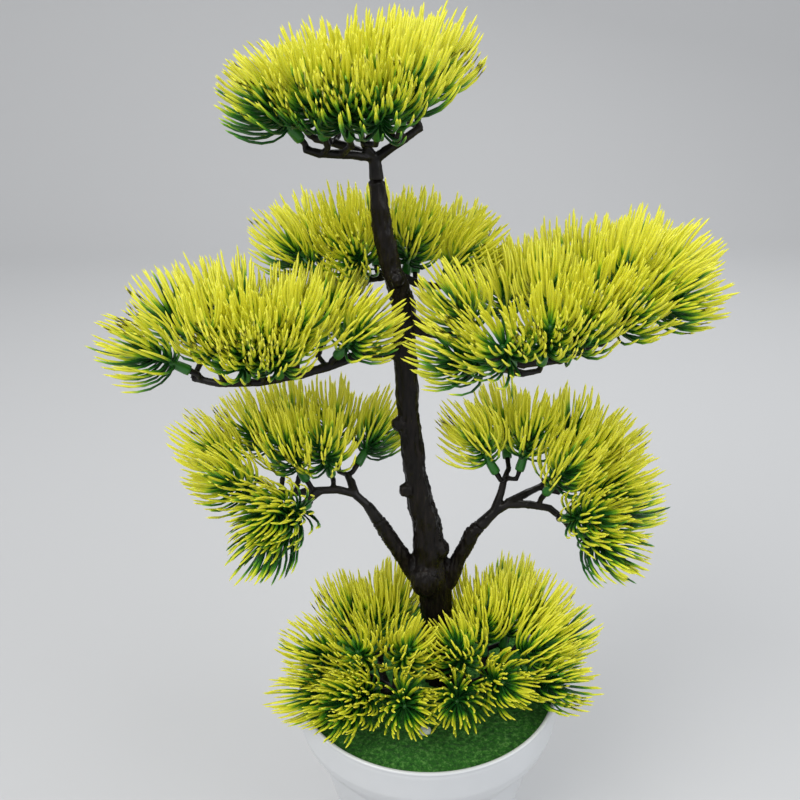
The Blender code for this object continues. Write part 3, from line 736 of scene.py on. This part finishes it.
def needle_line(index, foot, way, comb, draw):
    """A needle's middle line from the stem to its tip, and its direction at each point."""
    side, other = across_of(way)
    share = (index + 0.5) / NEEDLES
    spin = index * NEEDLE_TURN + draw.uniform(-0.35, 0.35)
    height = 0.0065 + 0.0160 * share + draw.uniform(-0.0005, 0.0005)
    out = (side * math.cos(spin) + other * math.sin(spin)).normalized()
    open_start = math.radians(96 - 54 * share ** 1.5 + draw.uniform(-5, 5))
    open_end = math.radians(14 - 16 * share + draw.uniform(-6, 6))
    length = (0.0290 - 0.0062 * share) * draw.uniform(0.86, 1.08)
    sway = draw.uniform(-0.16, 0.16)
    drift = way.cross(out)
    places = [foot + way * height + out * 0.0008]
    ways = []
    for before, along in zip((0.0,) + NEEDLE_STEPS, NEEDLE_STEPS):
        opening = open_start + (open_end - open_start) * along
        forward = (way * math.cos(opening) + out * math.sin(opening)
                   + drift * (sway * along) + comb * (NEEDLE_COMB * along)).normalized()
        ways.append(forward)
        if along > 0.0:
            places.append(places[-1] + forward * (length * (along - before)))
    return places, ways


def add_needle(brush, index, places, ways, cover, tone):
    """A four-sided needle along its middle line, painted from its tip down."""
    fills = [max(0.0, min(1.0, (along - (1.0 - cover)) / PAINT_FADE + 0.5))
             for along in NEEDLE_STEPS]
    last = None
    for step, girth in enumerate(NEEDLE_GIRTH):
        now = brush.ring(places[step], ways[step], NEEDLE_RADIUS * girth, NEEDLE_SIDES,
                         fills[step], tone, turn=0.6)
        if last is not None:
            brush.join(last, now, NEEDLE_SIDES, index, NEEDLE_STEPS[step - 1], NEEDLE_STEPS[step])
        last = now
    brush.tip(last, places[-1], index, NEEDLE_STEPS[-2], fills[-1], tone)


def shaded(place, hearts):
    """How much of the spray hangs over a place, from 0 in the open to 1 deep below."""
    total = 0.0
    for heart in hearts:
        over = (heart.z + 0.004 - place.z) / 0.014
        near = (0.020 - math.hypot(heart.x - place.x, heart.y - place.y)) / 0.012
        if over > 0.0 and near > 0.0:
            total += min(1.0, over) * min(1.0, near)
    return min(1.0, total / 1.6)


def cover_of(tip, heart, above, hearts, hub, thick, lift, draw):
    """How far down from its tip a needle is painted, as a share of its length."""
    facing = (tip - heart).normalized().dot(above)
    under = shaded(tip, hearts)
    rise = max(-1.0, min(1.0, (tip.z - hub.z - 0.002) / 0.016))
    cover = thick + lift * (0.5 * facing + 0.5 * rise) - PAINT_LOST_IN_SHADE * under
    cover += draw.uniform(-0.10, 0.10)
    if draw.random() < 0.05 + 0.20 * under:
        cover -= PAINT_MISSED
    return cover


def make_head(name, foot, way, above, hearts, hub, reach, lift, draw):
    """One head: its stem, then its needles in a spiral, each curling up along the stem."""
    brush = Brush()
    add_stem(brush, foot, way)
    side, other = across_of(way)
    heart = foot + way * FACING_HEIGHT
    thick = reach + draw.uniform(-0.14, 0.08)
    comb = (above + side * draw.uniform(-0.8, 0.8) + other * draw.uniform(-0.8, 0.8)).normalized()
    for index in range(NEEDLES):
        places, ways = needle_line(index, foot, way, comb, draw)
        tone = draw.random()
        cover = cover_of(places[-1], heart, above, hearts, hub, thick, lift, draw)
        add_needle(brush, index, places, ways, cover, tone)
    return brush.mesh(name)


def line_of(node):
    """The foot and the direction of a head, from its solid."""
    mesh = frame["nodes"][node].data
    points = np.array([tuple(v.co) for v in mesh.vertices])
    middle = points.mean(axis=0)
    axis = np.linalg.svd(points - middle, full_matrices=False)[2][0]
    along = (points - middle) @ axis
    off = np.linalg.norm(points - middle - np.outer(along, axis), axis=1)
    if off[along > along.max() - 0.0002].max() > off[along < along.min() + 0.0002].max():
        axis = -axis
        along = -along
    return Vector(middle + axis * along.min()), Vector(axis)


# The body that each spray's heads ride on, how far the paint comes down a level needle, as a
# share of its length, and how much further it comes down one that points up.
PAINTED_HEADS = {
    "top": ("top_spray", 0.26, 0.58),
    "midback": ("midback_spray", 0.32, 0.50),
    "upleft": ("upleft_spray", 0.54, 0.26),
    "upright": ("upright_spray", 0.54, 0.26),
    "lowleft": ("lowleft_spray", 0.48, 0.24),
    "lowright": ("lowright_spray", 0.48, 0.24),
    "ground_left": ("planter", 0.52, 0.20),
    "ground_right": ("planter", 0.52, 0.20),
}

# The heads that have no solid of their own, by spray: the foot in mm from the spray's plug, or
# from its stem's place on the mat, then the azimuth and the elevation that the head points in.
BETWEEN = {
    "top": [((-20, -17, 20), -110, 55), ((-10, -19, 20), -95, 45), ((1, -18, 20), -80, 40),
            ((14, 17, 27), 70, 60), ((-20, -3, 21), 150, 80), ((-2, -1, 24), 90, 86),
            ((11, -2, 25), 0, 82)],
    "midback": [((-14, 11, -4), -110, 55), ((10, 33, -7), 85, 60), ((25, 31, -8), 60, 48)],
    "upleft": [((-45, -20, -3), -80, 54), ((-42, 3, 1), 95, 55), ((-52, -24, 2), -90, 60),
               ((-78, 10, 3), 115, 50), ((-59, -23, -3), -88, 56), ((-28, 2, 3), 60, 55)],
    "upright": [((58, -19, -6), -75, 50), ((78, -11, -1), -62, 48), ((34, -31, -5), -110, 38),
                ((36, 4, -2), 100, 55), ((50, 12, -1), 110, 60), ((90, 22, 9), 40, 60),
                ((82, 2, 8), -40, 75), ((64, 26, 1), 95, 55)],
    "lowleft": [((-22, 0, 26), -110, 65), ((-40, 20, 26), 120, 60), ((-54, -9, 20), -155, 35),
                ((-38, -16, 16), -125, 25), ((-33, -11, 16), -115, 10)],
    "lowright": [((14, 13, 31), 95, 45), ((51, 10, 19), 20, 45), ((40, -11, 10), -60, 30),
                 ((52, 1, 3), 0, 12), ((42, 5, 20), 10, 55)],
    "ground_left": [((-4, 9, 22), 110, 60), ((-9, -8, 27), -110, 55), ((6, -9, 26), -60, 60),
                    ((-20, -12, 13), -155, 20), ((-12, -17, 15), -120, 25)],
    "ground_right": [((11, 9, 20), 60, 70), ((-8, 12, 20), 60, 65), ((0, -12, 17), -70, 35),
                     ((20, 12, 21), 35, 45), ((23, 3, 19), 0, 30), ((19, -9, 14), -35, 18),
                     ((0, 3, 20), 90, 75), ((-12, -10, 22), -110, 65)],
}

# Where the ground sprays' stems stand on the mat.
STEMS = {"ground_left": (-0.021, -0.010), "ground_right": (0.030, -0.006)}


def plug_of(spray):
    """Where a spray's places are measured from."""
    if spray in STEMS:
        return Vector((*STEMS[spray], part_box("grass_mat")[1][2]))
    for joint in frame["joints"]:
        if joint["name"] == spray + "_swivel":
            return Vector(joint["pos_m"])


def heads_of(spray):
    """Every head of a spray: its name, its node or None, its foot and its direction."""
    found = []
    for node in sorted(n for n in frame["nodes"] if n.startswith("head_" + spray + "_")):
        found.append((node + "_needles", node, *line_of(node)))
    for number, (place, azimuth, elevation) in enumerate(BETWEEN[spray], 1):
        az = math.radians(azimuth)
        el = math.radians(elevation)
        way = Vector((math.cos(az) * math.cos(el), math.sin(az) * math.cos(el), math.sin(el)))
        foot = plug_of(spray) + Vector(place) * 0.001
        found.append((f"between_{spray}_{number}_needles", None, foot, way))
    return found


draw = random.Random(7)
for spray, (body, reach, lift) in PAINTED_HEADS.items():
    heads = heads_of(spray)
    hearts = [foot + way * HEART_HEIGHT for name, node, foot, way in heads]
    hub = sum(hearts, Vector()) / len(hearts)
    for name, node, foot, way in heads:
        away = foot - hub
        away.z = 0.0
        away.y *= PAINT_DEPTH
        above = (PAINT_WAY + away.normalized() * PAINT_OUTWARD).normalized()
        head = make_head(name, foot, way, above, hearts, hub, reach, lift, draw)
        piece = new_piece(name, head, body)
        if node:
            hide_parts(node)
